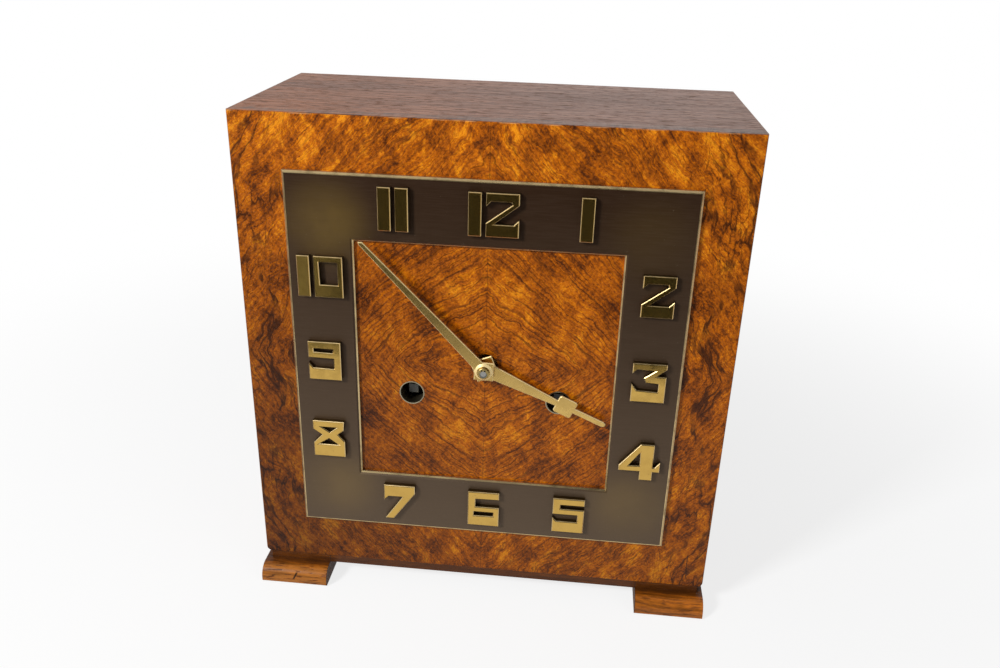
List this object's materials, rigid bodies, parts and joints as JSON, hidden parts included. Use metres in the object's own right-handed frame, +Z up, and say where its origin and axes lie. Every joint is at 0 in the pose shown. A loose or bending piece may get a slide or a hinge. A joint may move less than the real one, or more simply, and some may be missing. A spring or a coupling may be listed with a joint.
{
  "type": "desk clock",
  "caption": "Square wooden mantel clock on two bar feet, with a brass dial frame, applied numerals, open hands, a rear door and a striking movement with a short pendulum.",
  "frame": {"origin": "on the table under the middle of the clock's bounding box", "axes": "+Z up, +Y from the dial to the rear door, +X to the right of someone who faces the dial"},
  "size_m": [0.2282, 0.1252, 0.2433],
  "materials": {
    "burl_front": "gloss",
    "case_veneer": "satin",
    "case_inside": "matt",
    "plinth_wood": "satin",
    "knob_brass": "satin",
    "frame_bronze": "satin",
    "numeral_brass": "polished",
    "hand_brass": "satin",
    "bright_steel": "satin",
    "plate_brass": "satin",
    "wheel_brass": "satin",
    "rod_steel": "satin",
    "gong_iron": "matt"
  },
  "bodies": {
    "case": {"case_front": "burl_front", "case_top": "case_veneer", "case_bottom": "case_inside", "case_side_left": "case_veneer", "case_side_right": "case_veneer", "base_board": "plinth_wood", "foot_left": "plinth_wood", "foot_right": "plinth_wood", "hinge_case_leaves": "knob_brass", "dial_frame": "frame_bronze", "numeral_1": "numeral_brass", "numeral_2": "numeral_brass", "numeral_3": "numeral_brass", "numeral_4": "numeral_brass", "numeral_5": "numeral_brass", "numeral_6": "numeral_brass", "numeral_7": "numeral_brass", "numeral_8": "numeral_brass", "numeral_9": "numeral_brass", "numeral_10": "numeral_brass", "numeral_11": "numeral_brass", "numeral_12": "numeral_brass", "winding_eyelets": "hand_brass", "front_plate": "plate_brass", "back_plate": "plate_brass", "plate_pillars": "plate_brass", "movement_posts": "plate_brass", "pendulum_cock": "plate_brass", "gong_block": "gong_iron", "gong_rods": "rod_steel"},
    "minute": {"minute_hand": "hand_brass", "hand_collet": "hand_brass", "hand_nut": "bright_steel", "cannon_pinion": "wheel_brass", "centre_wheel": "wheel_brass"},
    "hour": {"hour_hand": "hand_brass", "hour_wheel": "wheel_brass"},
    "motion": {"minute_wheel": "wheel_brass"},
    "going_second": {"going_second_wheel": "wheel_brass"},
    "going_great": {"going_barrel": "wheel_brass"},
    "third": {"third_wheel": "wheel_brass"},
    "escape": {"escape_wheel": "wheel_brass"},
    "going_winding": {"going_arbor": "bright_steel"},
    "going_pawl": {"going_click": "bright_steel"},
    "strike_pin": {"pin_wheel": "wheel_brass"},
    "strike_second": {"strike_second_wheel": "wheel_brass"},
    "strike_great": {"strike_barrel": "wheel_brass"},
    "strike_warning": {"warning_wheel": "wheel_brass"},
    "strike_fly": {"fly": "wheel_brass"},
    "strike_winding": {"strike_arbor": "bright_steel"},
    "strike_pawl": {"strike_click": "bright_steel"},
    "hammers": {"hammer": "bright_steel"},
    "pendulum": {"suspension_spring": "bright_steel", "pendulum_rod": "rod_steel", "pendulum_bob": "wheel_brass"},
    "escape_anchor": {"anchor": "bright_steel"},
    "rating": {"rating_nut": "wheel_brass"},
    "door": {"rear_door": "case_inside", "hinge_door_leaves": "knob_brass", "door_knob": "knob_brass"}
  },
  "joints": [
    {"name": "minute_turn", "type": "hinge", "parent": "case", "child": "minute", "pos_m": [0, -0.05345, 0.1303], "axis": [0, 1, 0], "continuous": true},
    {"name": "hour_turn", "type": "hinge", "parent": "case", "child": "hour", "pos_m": [0, -0.05345, 0.1303], "axis": [0, 1, 0], "continuous": true},
    {"name": "motion_turn", "type": "hinge", "parent": "case", "child": "motion", "pos_m": [0, -0.05345, 0.1163], "axis": [0, 1, 0], "continuous": true},
    {"name": "going_second_turn", "type": "hinge", "parent": "case", "child": "going_second", "pos_m": [0.02017, -0.05345, 0.13548], "axis": [0, 1, 0], "continuous": true},
    {"name": "going_barrel_turn", "type": "hinge", "parent": "case", "child": "going_great", "pos_m": [0.0348, -0.05345, 0.1135], "axis": [0, 1, 0], "continuous": true},
    {"name": "third_turn", "type": "hinge", "parent": "case", "child": "third", "pos_m": [0.004, -0.05345, 0.14969], "axis": [0, 1, 0], "continuous": true},
    {"name": "escape_turn", "type": "hinge", "parent": "case", "child": "escape", "pos_m": [0, -0.05345, 0.16638], "axis": [0, 1, 0], "continuous": true},
    {"name": "going_wind", "type": "hinge", "parent": "case", "child": "going_winding", "pos_m": [0.0348, -0.05345, 0.1135], "axis": [0, 1, 0], "continuous": true},
    {"name": "going_click_lift", "type": "hinge", "parent": "case", "child": "going_pawl", "pos_m": [0.04946, -0.05345, 0.10845], "axis": [0, 1, 0], "range_deg": [-12, 0], "stiffness_Nm_per_rad": 0.005, "springref_deg": 5.73},
    {"name": "pin_wheel_turn", "type": "hinge", "parent": "case", "child": "strike_pin", "pos_m": [-0.04068, -0.05345, 0.13909], "axis": [0, 1, 0], "continuous": true},
    {"name": "strike_second_turn", "type": "hinge", "parent": "case", "child": "strike_second", "pos_m": [-0.02017, -0.05345, 0.13548], "axis": [0, 1, 0], "continuous": true},
    {"name": "strike_barrel_turn", "type": "hinge", "parent": "case", "child": "strike_great", "pos_m": [-0.0348, -0.05345, 0.1135], "axis": [0, 1, 0], "continuous": true},
    {"name": "warning_turn", "type": "hinge", "parent": "case", "child": "strike_warning", "pos_m": [-0.03664, -0.05345, 0.15416], "axis": [0, 1, 0], "continuous": true},
    {"name": "fly_turn", "type": "hinge", "parent": "case", "child": "strike_fly", "pos_m": [-0.03139, -0.05345, 0.16325], "axis": [0, 1, 0], "continuous": true},
    {"name": "strike_wind", "type": "hinge", "parent": "case", "child": "strike_winding", "pos_m": [-0.0348, -0.05345, 0.1135], "axis": [0, 1, 0], "continuous": true},
    {"name": "strike_click_lift", "type": "hinge", "parent": "case", "child": "strike_pawl", "pos_m": [-0.02463, -0.05345, 0.1018], "axis": [0, 1, 0], "range_deg": [-12, 0], "stiffness_Nm_per_rad": 0.005, "springref_deg": 5.73},
    {"name": "hammer_lift", "type": "hinge", "parent": "case", "child": "hammers", "pos_m": [-0.044, -0.05345, 0.0853], "axis": [0, 1, 0], "range_deg": [-15, 0]},
    {"name": "pendulum_swing", "type": "hinge", "parent": "case", "child": "pendulum", "pos_m": [0, -0.05345, 0.18138], "axis": [0, 1, 0], "range_deg": [-3, 3]},
    {"name": "anchor_rock", "type": "hinge", "parent": "case", "child": "escape_anchor", "pos_m": [0, -0.05345, 0.18138], "axis": [0, 1, 0], "range_deg": [-3, 3]},
    {"name": "rating_nut_turn", "type": "hinge", "parent": "pendulum", "child": "rating", "pos_m": [0, 0.01405, 0.0373], "axis": [0, 0, 1], "continuous": true},
    {"name": "door_swing", "type": "hinge", "parent": "case", "child": "door", "pos_m": [-0.1041, 0.05645, 0.1303], "axis": [0, 0, 1], "range_deg": [0, 110]}
  ],
  "couplings": [
    {"joint": "going_second_turn", "follows": "going_barrel_turn", "ratio": -5},
    {"joint": "minute_turn", "follows": "going_barrel_turn", "ratio": 30},
    {"joint": "motion_turn", "follows": "going_barrel_turn", "ratio": -10},
    {"joint": "hour_turn", "follows": "going_barrel_turn", "ratio": 2.5},
    {"joint": "third_turn", "follows": "going_barrel_turn", "ratio": -300},
    {"joint": "escape_turn", "follows": "going_barrel_turn", "ratio": 3000},
    {"joint": "strike_second_turn", "follows": "strike_barrel_turn", "ratio": -5},
    {"joint": "pin_wheel_turn", "follows": "strike_barrel_turn", "ratio": 30},
    {"joint": "warning_turn", "follows": "strike_barrel_turn", "ratio": -210},
    {"joint": "fly_turn", "follows": "strike_barrel_turn", "ratio": 1260},
    {"joint": "anchor_rock", "follows": "pendulum_swing", "ratio": 1}
  ]
}
